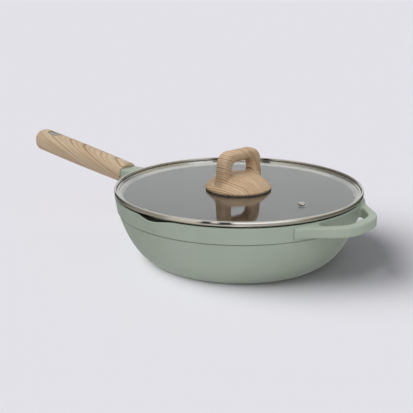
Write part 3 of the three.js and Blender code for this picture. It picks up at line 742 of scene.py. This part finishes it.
def helper_bar():
    front = LIP_R + HELPER_REACH
    sunk = BELT_LOW_R - ROOT_DEEP
    spread = PAD_TO - ROOT_IN + ROOT_PAST
    back = [ROOT_IN - ROOT_PAST + step * spread / ROOT_STEPS for step in range(ROOT_STEPS + 1)]
    half = [(HELPER_IN_X, HELPER_IN_CORNER, HELPER_IN_BEND), (*polar(ROOT_R, ROOT_IN), ROOT_IN_FILLET)]
    half += [(*polar(sunk, degrees), 0) for degrees in back]
    half += [(*polar(ROOT_R, PAD_TO), ROOT_END_ROUND), (*polar(ROOT_R, ROOT_OUT), ROOT_OUT_FILLET),
             (front, HELPER_CORNER, HELPER_BEND)]
    other = [(x, -y, radius) for x, y, radius in reversed(half)]
    low, high = BODY_H - HELPER_LOW, BODY_H - HELPER_LOW + HELPER_H
    mesh = slab(rounded(half + other, closed=True, steps=12), low, high)
    round_edges(mesh, level_edges(mesh), HELPER_ROUND, segments=5)
    for vert in mesh.verts:
        near = min(1, max(0, (WALL_FAR - vert.co.xy.length) / (WALL_FAR - WALL_NEAR)))
        lean = belt_radius(vert.co.z) - belt_radius((low + high) / 2)
        vert.co.xy *= 1 + near * lean / vert.co.xy.length
    return mesh


def helper_pad(side):
    low, high = BODY_H - HELPER_LOW, BODY_H - PAD_DOWN
    mesh = bmesh.new()
    section = [(belt_radius(low) - ROOT_SINK, low), (belt_radius(low) + PAD_PROUD, low),
               (belt_radius(high) + PAD_PROUD, high), (belt_radius(high) - ROOT_SINK, high)]
    face = mesh.faces.new([mesh.verts.new((radius, 0, height)) for radius, height in section])
    bmesh.ops.spin(mesh, geom=[face, *face.edges, *face.verts], axis=UP, cent=(0, 0, 0),
                   angle=math.radians(PAD_TO - PAD_FROM), steps=12)
    bmesh.ops.rotate(mesh, matrix=Matrix.Rotation(math.radians(PAD_FROM), 3, "Z"), verts=mesh.verts)
    bmesh.ops.recalc_face_normals(mesh, faces=mesh.faces)
    round_edges(mesh, sharp_edges(mesh), PAD_ROUND)
    bmesh.ops.scale(mesh, vec=(1, side, 1), verts=mesh.verts)
    bmesh.ops.recalc_face_normals(mesh, faces=mesh.faces)
    return mesh


helper_mesh = melted(joined(helper_bar(), helper_pad(1), helper_pad(-1)), HELPER_GRID, HELPER_PASSES)
helper = add_piece("helper_handle", helper_mesh, "pan", ["pan_body"], [sage_enamel],
                   sharp=80)

# %% [markdown]
# The neck of the long handle is cast on as well: a plate that flares into the wall and ends round, and a
# tang that goes on into the grip. The plate's outline is drawn flat, raised and rounded along both edges.
# Its inner end follows the wall, so nothing of it shows inside the pan.

# %% Neck
HANDLE_RISE, HANDLE_H = math.radians(8.17), 61.7
NECK_ROOT_HALF, NECK_OUT, NECK_END_R, NECK_H, NECK_ROUND = 27, 38, 13, 15.4, 2.5
NECK_UNDER_LIP, NECK_PLAY, NECK_BACK_CUTS = 0.1, 2.3, 16
NECK_BEND = NECK_OUT / 5
TANG_W, TANG_H, TANG_L, TANG_ROUND = 14, 9, 52.5, 1.0
HANDLE = Matrix.Translation((-LIP_R, 0, HANDLE_H)) @ Matrix.Rotation(HANDLE_RISE, 4, "Y")


def neck_line(grow=0, steps=14):
    """The neck's outline seen from above, from its root on one side round the end to the other."""
    radius = NECK_END_R + grow
    root, end = Vector((-(LIP_R - WALL), NECK_ROOT_HALF)), Vector((-(LIP_R + NECK_OUT), radius))
    bend = Vector((-(LIP_R + NECK_BEND), radius))
    shares = [step / steps for step in range(steps)]
    flare = [root.lerp(bend, t).lerp(bend.lerp(end, t), t) for t in shares]
    turns = [math.pi / 2 + math.pi * step / (2 * steps) for step in range(2 * steps + 1)]
    tip = [Vector((end.x + radius * math.cos(t), radius * math.sin(t))) for t in turns]
    return flare + tip + [Vector((p.x, -p.y)) for p in reversed(flare)]


def neck_plate():
    line = neck_line()
    mesh = slab(line, BODY_H - NECK_H, BODY_H - NECK_UNDER_LIP)
    wall = line[0].x - NEAR
    rims = [e for e in level_edges(mesh) if not all(v.co.x > wall for v in e.verts)]
    round_edges(mesh, rims, NECK_ROUND, segments=5)
    long_back = [e for e in mesh.edges if all(v.co.x > wall for v in e.verts)
                 and abs(e.verts[0].co.y - e.verts[1].co.y) > NECK_ROOT_HALF]
    bmesh.ops.subdivide_edges(mesh, edges=long_back, cuts=NECK_BACK_CUTS)
    for vert in mesh.verts:
        if vert.co.x > wall:
            vert.co.x = -math.sqrt((belt_radius(vert.co.z) - ROOT_SINK) ** 2 - vert.co.y ** 2)
    return mesh


def tang_bar():
    length = NECK_END_R + TANG_L
    middle = Matrix.Translation((-NECK_OUT + NECK_END_R - length / 2, 0, 0))
    mesh = bmesh.new()
    bmesh.ops.create_cube(mesh, size=1, matrix=HANDLE @ middle @ Matrix.Diagonal((length, TANG_W, TANG_H, 1)))
    round_edges(mesh, mesh.edges[:], TANG_ROUND, segments=3)
    return mesh


neck_mesh = joined(neck_plate(), tang_bar())
add_piece("handle_neck", neck_mesh, "pan", ["pan_body"], [sage_enamel])

# %% [markdown]
# A steel disc is pressed into the underside, so that the pan heats on an induction hob. It is turned, with
# shallow rings that let it stretch and give it grip on the casting.

# %% Base plate
PLATE_RING_STEP, PLATE_RING_W, PLATE_RING_DEEP, PLATE_FACETS = 11, 2.4, 0.3, 160


def plate_profile():
    edge, bed = PLATE_RING_W, PLATE_RING_W / 2
    section = [(edge, 0), (bed, PLATE_RING_DEEP), (-bed, PLATE_RING_DEEP), (-edge, 0)]
    corners = [(0, PLATE_T, 0), (PLATE_R, PLATE_T, CRISP), (PLATE_R, 0, BROKEN)]
    ring = PLATE_R - PLATE_RING_STEP
    while ring > PLATE_RING_STEP:
        corners += [(ring + across, up, BROKEN) for across, up in section]
        ring -= PLATE_RING_STEP
    return rounded(corners + [(0, 0, 0)], steps=2)


plate_mesh = turned(plate_profile(), PLATE_FACETS)
add_piece("base_plate", plate_mesh, "pan", ["induction_base_plate"], [base_steel])

# %% [markdown]
# The grip is a wooden bar with plain ends. It is turned like a broom handle, pressed to an oval that is
# thickest near its tip, and its tip is leant over a little. The slot, the sockets of neck and tang and the
# counterbore are carved out.

# %% Grip
GRIP_START, GRIP_L, GRIP_W, GRIP_T, GRIP_TIP_R, GRIP_NECK_R = 37, 166.9, 32, 29, 6, 2.0
GRIP_SQUARE, GRIP_FULL_AT, GRIP_TAPER, TIP_LEAN, TIP_FADE = 2.2, 0.3, 0.1, 0.16, 14
GRIP_STEP, GRIP_FACETS = 3, 96
SLOT_FROM_TIP, SLOT_L, SLOT_W, LINER_WALL = 24, 20, 10, 1.2
SCREW_AT, WASHER_R, SEAT_WALL = 70, 5, 3.2
SLOT_AT = -(GRIP_START + GRIP_L - SLOT_FROM_TIP)
SCREW_SEAT = -(TANG_H / 2 + FIT + SEAT_WALL)


def thickness(from_tip):
    """How thick the grip is at a distance from its tip, as a share of its thickest."""
    return 1 - GRIP_TAPER * ((from_tip / GRIP_L - GRIP_FULL_AT) / (1 - GRIP_FULL_AT)) ** 2


def oval(across, up):
    """How far the grip's section reaches beyond a circle in a direction."""
    size = math.hypot(across, up) or 1
    return ((abs(across / size) ** GRIP_SQUARE + abs(up / size) ** GRIP_SQUARE) or 1) ** (-1 / GRIP_SQUARE)


def grip_blank():
    radius = GRIP_T / 2
    ends = [(0, 0, 0), (radius, 0, GRIP_TIP_R), (radius, GRIP_L, GRIP_NECK_R), (0, GRIP_L, 0)]
    mesh = turned(stepped(rounded(ends, steps=8), GRIP_STEP), GRIP_FACETS)
    for vert in mesh.verts:
        lean = TIP_LEAN * vert.co.x * max(0, 1 - vert.co.z / TIP_FADE)
        vert.co.xy *= oval(vert.co.x, vert.co.y)
        vert.co.x *= thickness(vert.co.z)
        vert.co.y *= GRIP_W / GRIP_T
        vert.co.z += lean
    shape = Matrix.Translation((-(GRIP_START + GRIP_L), 0, 0)) @ Matrix.Rotation(math.pi / 2, 4, "Y")
    bmesh.ops.transform(mesh, matrix=shape, verts=mesh.verts)
    return mesh


def slot_line(length, width, steps=12):
    """A slot's outline with round ends, along X."""
    turns = [math.pi * step / steps - math.pi / 2 for step in range(steps + 1)]
    end = [Vector(((length - width) / 2 + width / 2 * math.cos(t), width / 2 * math.sin(t))) for t in turns]
    return end + [-p for p in end]


def moved(mesh, x):
    bmesh.ops.translate(mesh, vec=(x, 0, 0), verts=mesh.verts)
    return mesh


def grip_cutters():
    room = 2 * (LINER_WALL + FIT)
    length = TANG_L + NECK_END_R
    middle = Matrix.Translation((-NECK_OUT - TANG_L + length / 2, 0, 0))
    shape = Matrix.Diagonal((length, TANG_W + 2 * FIT, TANG_H + 2 * FIT, 1))
    socket = bmesh.new()
    bmesh.ops.create_cube(socket, size=1, matrix=middle @ shape)
    bore = [(0, -GRIP_T), (WASHER_R + FIT, -GRIP_T), (WASHER_R + FIT, SCREW_SEAT), (0, SCREW_SEAT)]
    slot = slab(slot_line(SLOT_L + room, SLOT_W + room), -GRIP_T, GRIP_T)
    neck = slab(neck_line(FIT), BODY_H - NECK_H - NECK_PLAY, BODY_H - NECK_UNDER_LIP + FIT)
    bmesh.ops.transform(neck, matrix=HANDLE.inverted(), verts=neck.verts)
    return moved(slot, SLOT_AT), neck, socket, moved(turned(bore, SMALL), -SCREW_AT)


grip_mesh = carved(grip_blank(), *grip_cutters())
add_piece("grip", grip_mesh, "pan", ["handle_grip"], [oak_grip], place=HANDLE)

# %% [markdown]
# A thin grey sleeve lines the hanging slot. It is a slot-shaped tube whose two ends follow the crown of the
# grip. So it is drawn from -1 to 1, and then each point is raised to just below the wood around it.

# %% Slot liner
LINER_SHORT, LINER_ROUND = 1.9, 0.35


def slot_liner():
    mesh = bmesh.new()
    rings = []
    for grow in (0, 2 * LINER_WALL):
        corners = [mesh.verts.new((*p, -1)) for p in slot_line(SLOT_L + grow, SLOT_W + grow)]
        rings.append([mesh.edges.new(pair) for pair in zip(corners, corners[1:] + corners[:1])])
    bmesh.ops.bridge_loops(mesh, edges=rings[0] + rings[1])
    for vert in raised(mesh, 2).verts:
        crown = (1 - abs(2 * vert.co.y / GRIP_W) ** GRIP_SQUARE) ** (1 / GRIP_SQUARE)
        vert.co.z *= thickness(SLOT_FROM_TIP + vert.co.x) * GRIP_T / 2 * crown - LINER_SHORT
    round_edges(mesh, sharp_edges(mesh), LINER_ROUND, segments=2)
    return moved(mesh, SLOT_AT)


add_piece("slot_liner", slot_liner(), "pan", ["hanging_eyelet"], [liner_grey], place=HANDLE)

# %% [markdown]
# One screw holds the grip on the tang, from below, with a washer under its head. Screws and washers are
# turned too. A hexagonal bar carves the socket for the key.

# %% Handle screw and washer
SCREW_R, SCREW_HEAD_R, SCREW_HEAD_H, SCREW_BITE, SCREW_KEY, WASHER_T = 2.5, 4.4, 2.6, 8, 2.2, 0.8
WASHER_EDGE, KEY_DEEP = 0.15, 0.6


def ring_piece(inner, outer, low, high, edge, facets=SMALL):
    """A washer, sleeve or gasket: a turned ring with small round edges."""
    corners = [(inner, low, edge), (outer, low, edge), (outer, high, edge), (inner, high, edge)]
    return turned(rounded(corners, closed=True, steps=3), facets, closed=True)


def socket_screw(head_r, shank_r, head_low, head_high, tip, key):
    """A screw with its head down and a hexagonal socket in it, over a share of the head's height."""
    line = rounded([(0, head_low, 0), (head_r, head_low, SOFT), (head_r, head_high, CRISP),
                    (shank_r, head_high, CRISP), (shank_r, tip, EASED), (0, tip, 0)], steps=4)
    cutter = bmesh.new()
    bar = 2 * KEY_DEEP * (head_high - head_low)
    bmesh.ops.create_cone(cutter, cap_ends=True, segments=6, radius1=key, radius2=key, depth=bar,
                          matrix=Matrix.Translation((0, 0, head_low)))
    return carved(turned(line, SMALL), cutter)


washer_top = SCREW_SEAT - FIT
head_top = washer_top - WASHER_T - FIT
handle_washer_mesh = ring_piece(SCREW_R + FIT, WASHER_R, washer_top - WASHER_T, washer_top, WASHER_EDGE)
handle_screw_mesh = socket_screw(SCREW_HEAD_R, SCREW_R, head_top - SCREW_HEAD_H, head_top,
                                 SCREW_SEAT + SEAT_WALL + SCREW_BITE, SCREW_KEY)
for name, mesh, node in (("grip_washer", handle_washer_mesh, "handle_washer"),
                         ("grip_screw", handle_screw_mesh, "handle_screw")):
    add_piece(name, moved(mesh, -SCREW_AT), "pan", [node], [screw_steel], place=HANDLE)

# %% [markdown]
# The lid is a flat disc of glass in a polished steel rim. The rim is one profile, spun: a narrow bead that
# leans inwards, a thin lap over the edge of the glass, a channel, and a ledge under the glass that ends in
# a lip, bent down. The corner between bead and glass gets painted shade, a dark second finish on the same
# skin that stands for the shadowed gap there. The glass keeps its imported shape, because a flat disc needs
# nothing finer, and only gets its finish.

# %% Lid rim and glass
LID_TURN, LID_H = math.radians(-7), 79.1
SKIRT_R, BEAD_DOWN, BEAD_UP, BEAD_IN_R, BEAD_TOP_R, BEAD_FOOT_R = 141.2, 3.1, 2.5, 142.0, 144.3, 145.7
GLASS_R, GLASS_TOP, GLASS_LOW, SEAT = 140.0, -1.3, -5.3, 0.1
BEAD_FOOT_ROUND, BEAD_TOP_ROUND, BEAD_IN_ROUND, SKIRT_ROUND, LAP_ROUND = 2.2, 1.5, 0.9, 0.25, 0.1
RIM_LAP, RIM_LAP_T, RIM_DROP, RIM_LEDGE, RIM_LIP = 0.8, 0.5, 6.88, 4, 3
# The top and the rounding of the rim's inner corner, where the painted shade of the gap lies.
SHADE_BAND_TOP, SHADE_BAND_ROUND = 0.1, 0.7
LID = Matrix.Translation((0, 0, LID_H)) @ Matrix.Rotation(LID_TURN, 4, "Z")


def rim_profile():
    lap, lap_low = GLASS_R - RIM_LAP, GLASS_TOP + SEAT
    lap_top = lap_low + RIM_LAP_T
    ledge, ledge_top = GLASS_R - RIM_LEDGE, GLASS_LOW - SEAT
    lip = ledge - RIM_LIP
    return rounded([
        (SKIRT_R, -RIM_DROP, EASED), (SKIRT_R, -BEAD_DOWN, SKIRT_ROUND),
        (BEAD_FOOT_R, -BEAD_DOWN, BEAD_FOOT_ROUND), (BEAD_TOP_R, BEAD_UP, BEAD_TOP_ROUND),
        (BEAD_IN_R, BEAD_UP, BEAD_IN_ROUND), (BEAD_IN_R, SHADE_BAND_TOP, 0), (BEAD_IN_R, lap_top, SHADE_BAND_ROUND),
        (lap, lap_top, CRISP), (lap, lap_low, LAP_ROUND), (GLASS_R + FIT, lap_low, 0),
        (GLASS_R + FIT, ledge_top, 0), (ledge, ledge_top, SOFT), (lip, ledge_top - RIM_LIP, BROKEN),
        (lip, -RIM_DROP - RIM_LIP, BROKEN), (ledge, -RIM_DROP, SOFT),
    ], closed=True, steps=6)


def paint_corner_shade(mesh):
    """Gives the second finish, a painted shade, to the faces in the corner between bead and glass."""
    for face in mesh.faces:
        middle = face.calc_center_median()
        in_corner = -SHADE_BAND_ROUND < middle.xy.length - BEAD_IN_R < NEAR
        face.material_index = int(in_corner and GLASS_TOP + RIM_LAP_T < middle.z < SHADE_BAND_TOP)


rim_mesh = turned(rim_profile(), WIDE, closed=True)
paint_corner_shade(rim_mesh)
rim = add_piece("rim", rim_mesh, "lid", ["lid_rim"], [rim_steel, rim_painted_shade], place=LID)
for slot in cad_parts["lid_glass"].material_slots:
    slot.material = lid_clear_glass

# %% [markdown]
# Steam leaves through a small steel eyelet in the glass. It is pressed over a washer below, like the eyelet
# of a boot.

# %% Vent
VENT_AT, VENT_BORE_R, VENT_TUBE_R, VENT_FLANGE_R, VENT_FLANGE_T = 96.5, 1.6, 2.5, 4.2, 2.4
VENT_WASHER_R, VENT_WASHER_T, VENT_STUB = 4.4, 0.8, 0.6
VENT_FOOT_ROUND, VENT_TOP_ROUND, VENT_MOUTH_ROUND = 0.9, 1.3, 1.1

vent_washer_top = GLASS_LOW - SEAT
vent_washer_low = vent_washer_top - VENT_WASHER_T
vent_low = vent_washer_low - VENT_STUB
flange_low, flange_top = GLASS_TOP + SEAT, GLASS_TOP + SEAT + VENT_FLANGE_T
vent_line = rounded([
    (VENT_BORE_R, vent_low, CRISP), (VENT_TUBE_R, vent_low, CRISP), (VENT_TUBE_R, flange_low, 0),
    (VENT_FLANGE_R, flange_low, VENT_FOOT_ROUND), (VENT_FLANGE_R, flange_top, VENT_TOP_ROUND),
    (VENT_BORE_R, flange_top, VENT_MOUTH_ROUND),
], closed=True)
vent_washer_mesh = ring_piece(VENT_TUBE_R + FIT, VENT_WASHER_R, vent_washer_low, vent_washer_top, WASHER_EDGE)
vent_mesh = turned(vent_line, SMALL, closed=True)
for name, mesh, slot, node, finish in (
        ("vent", vent_mesh, "polished_steel", "vent_eyelet", rim_steel),
        ("vent_ring", vent_washer_mesh, "fastener_steel", "vent_washer", screw_steel)):
    add_piece(name, moved(mesh, VENT_AT), "lid", [node], [finish], place=LID)

# %% [markdown]
# The knob is a dome with an arch over it, carved from one block. The dome is spun. The arch is an outline,
# raised to its depth and rounded along its edges. The two are melted into one skin, and the skin is
# smoothed most where the legs meet the dome, so that they flow into it as carved wood does.

# %% Knob
KNOB_LOW, KNOB_R, KNOB_EDGE, KNOB_EDGE_ROUND, KNOB_CREST, KNOB_FULL = -0.7, 38.5, 2.2, 0.3, 18.2, 3
ARCH_TOP, ARCH_FOOT_HALF, ARCH_SHOULDER_HALF, ARCH_SHOULDER_H = 45.58, 34.4, 30.8, 33
ARCH_D, ARCH_BAR, ARCH_LEG, ARCH_ROUND, ARCH_SINK = 16, 12.4, 16.2, 5, 2
EYE_BEND, SHOULDER_BEND = 8, 15
INSERT_R, INSERT_L = 4.7, 13
KNOB_GRID, KNOB_PASSES, DOME_STEPS = 0.7, 3, 24
FOOT_PASSES, FOOT_LOW, FOOT_HIGH, FOOT_FROM = 36, 8, 27, 10


def knob_dome():
    shares = [1 - step / DOME_STEPS for step in range(DOME_STEPS + 1)]
    line = [Vector((KNOB_R * t, KNOB_EDGE + (KNOB_CREST - KNOB_EDGE) * (1 - t ** KNOB_FULL))) for t in shares]
    foot = rounded([(0, 0, 0), (KNOB_R, 0, KNOB_EDGE_ROUND), (*line[0], 0)])
    return turned(foot + line[1:], MIDDLE)


def knob_arch():
    """The arch, drawn with its width across and its height up, then stood on the dome across the lid."""
    eye_top, eye_foot = ARCH_TOP - ARCH_BAR, ARCH_FOOT_HALF - ARCH_LEG
    lean = (ARCH_FOOT_HALF - ARCH_SHOULDER_HALF) / ARCH_SHOULDER_H
    top_half, eye_half = ARCH_FOOT_HALF - lean * ARCH_TOP, eye_foot - lean * eye_top / 2
    outline = [(ARCH_FOOT_HALF, ARCH_SINK, 0), (top_half, ARCH_TOP, SHOULDER_BEND),
               (-top_half, ARCH_TOP, SHOULDER_BEND), (-ARCH_FOOT_HALF, ARCH_SINK, 0),
               (-eye_foot, ARCH_SINK, 0), (-eye_half, eye_top, EYE_BEND),
               (eye_half, eye_top, EYE_BEND), (eye_foot, ARCH_SINK, 0)]
    mesh = slab(rounded(outline, closed=True, steps=8), -ARCH_D / 2, ARCH_D / 2)
    round_edges(mesh, level_edges(mesh), ARCH_ROUND, segments=6)
    stand = Matrix.Rotation(math.pi / 2, 4, "Z") @ Matrix.Rotation(math.pi / 2, 4, "X")
    bmesh.ops.transform(mesh, matrix=stand, verts=mesh.verts)
    return mesh


def soften_feet(mesh):
    """Smooths the knob between the dome and the legs, and leaves its rim and the arch's bar as they are."""
    for _ in range(FOOT_PASSES):
        near = [v for v in mesh.verts
                if FOOT_LOW < v.co.z < FOOT_HIGH and abs(v.co.x) < ARCH_D and abs(v.co.y) > FOOT_FROM]
        smooth(mesh, near)


knob_mesh = melted(joined(knob_dome(), knob_arch()), KNOB_GRID, KNOB_PASSES)
soften_feet(knob_mesh)
bore = [(0, -INSERT_L), (INSERT_R + FIT, -INSERT_L), (INSERT_R + FIT, INSERT_L + FIT), (0, INSERT_L + FIT)]
knob_mesh = carved(knob_mesh, turned(bore, SMALL))
add_piece("knob", knob_mesh, "lid", ["lid_knob"], [oak_knob],
          place=LID @ Matrix.Translation((0, 0, KNOB_LOW)))

# %% [markdown]
# Under the knob a thin gasket keeps wood off glass. A brass insert in the knob takes the screw, which comes
# from below through a steel washer and a silicone seal. They hardly show, but they are what holds the knob.

# %% Knob fastening
GASKET_T, GASKET_R, GASKET_HOLE_R = 0.4, 38.2, 29
KNOB_WASHER_R, KNOB_WASHER_T, KNOB_SEAL_R, KNOB_SEAL_T, SEAL_EDGE = 10, 1.2, 9, 1.5, 0.4
KNOB_SCREW_HEAD_R, KNOB_SCREW_HEAD_H, KNOB_SCREW_BITE, KNOB_SCREW_KEY = 4.8, 3, 10, 2.4

hole = SCREW_R + FIT
seal_top = GLASS_LOW - SEAT
steel_top = seal_top - KNOB_SEAL_T - SEAT
knob_head_top = steel_top - KNOB_WASHER_T - SEAT
gasket_low = GLASS_TOP + SEAT
fastening = (
    ("gasket", "dark_silicone", gasket_silicone,
     ring_piece(GASKET_HOLE_R, GASKET_R, gasket_low, gasket_low + GASKET_T, WASHER_EDGE, MIDDLE)),
    ("insert", "insert_brass", insert_brass,
     ring_piece(hole, INSERT_R, KNOB_LOW, KNOB_LOW + INSERT_L, BROKEN)),
    ("seal", "dark_silicone", gasket_silicone,
     ring_piece(hole, KNOB_SEAL_R, seal_top - KNOB_SEAL_T, seal_top, SEAL_EDGE)),
    ("washer", "fastener_steel", screw_steel,
     ring_piece(hole, KNOB_WASHER_R, steel_top - KNOB_WASHER_T, steel_top, BROKEN)),
    ("screw", "fastener_steel", screw_steel,
     socket_screw(KNOB_SCREW_HEAD_R, SCREW_R, knob_head_top - KNOB_SCREW_HEAD_H, knob_head_top,
                  KNOB_LOW + KNOB_SCREW_BITE, KNOB_SCREW_KEY)),
)
for name, slot, finish, mesh in fastening:
    add_piece("lid_" + name, mesh, "lid", ["knob_" + name], [finish], place=LID)

# %% [markdown]
# The floor's own lamp shines from the side of the long handle, where the picture shows no shadow. So only
# the bowl, the helper and the rim throw one.

# %% Shadow
throws_shadow = bpy.data.collections.new("throws_shadow")
for piece in (bowl, helper, rim):
    throws_shadow.objects.link(piece)
bpy.data.objects["floor_light"].light_linking.blocker_collection = throws_shadow

# %% [markdown]
# Both boxes, the imported pan's and the dressed one's, are printed in millimetres. The dressed pan must
# not be larger than the imported one.

# %% Sizes
boxes = {"cad": [list(corner) for corner in CAD_BOX], "visual": [list(corner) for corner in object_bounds()]}
for name, (low, high) in boxes.items():
    print(name, "box in mm", [round((b - a) / MM, 1) for a, b in zip(low, high)])
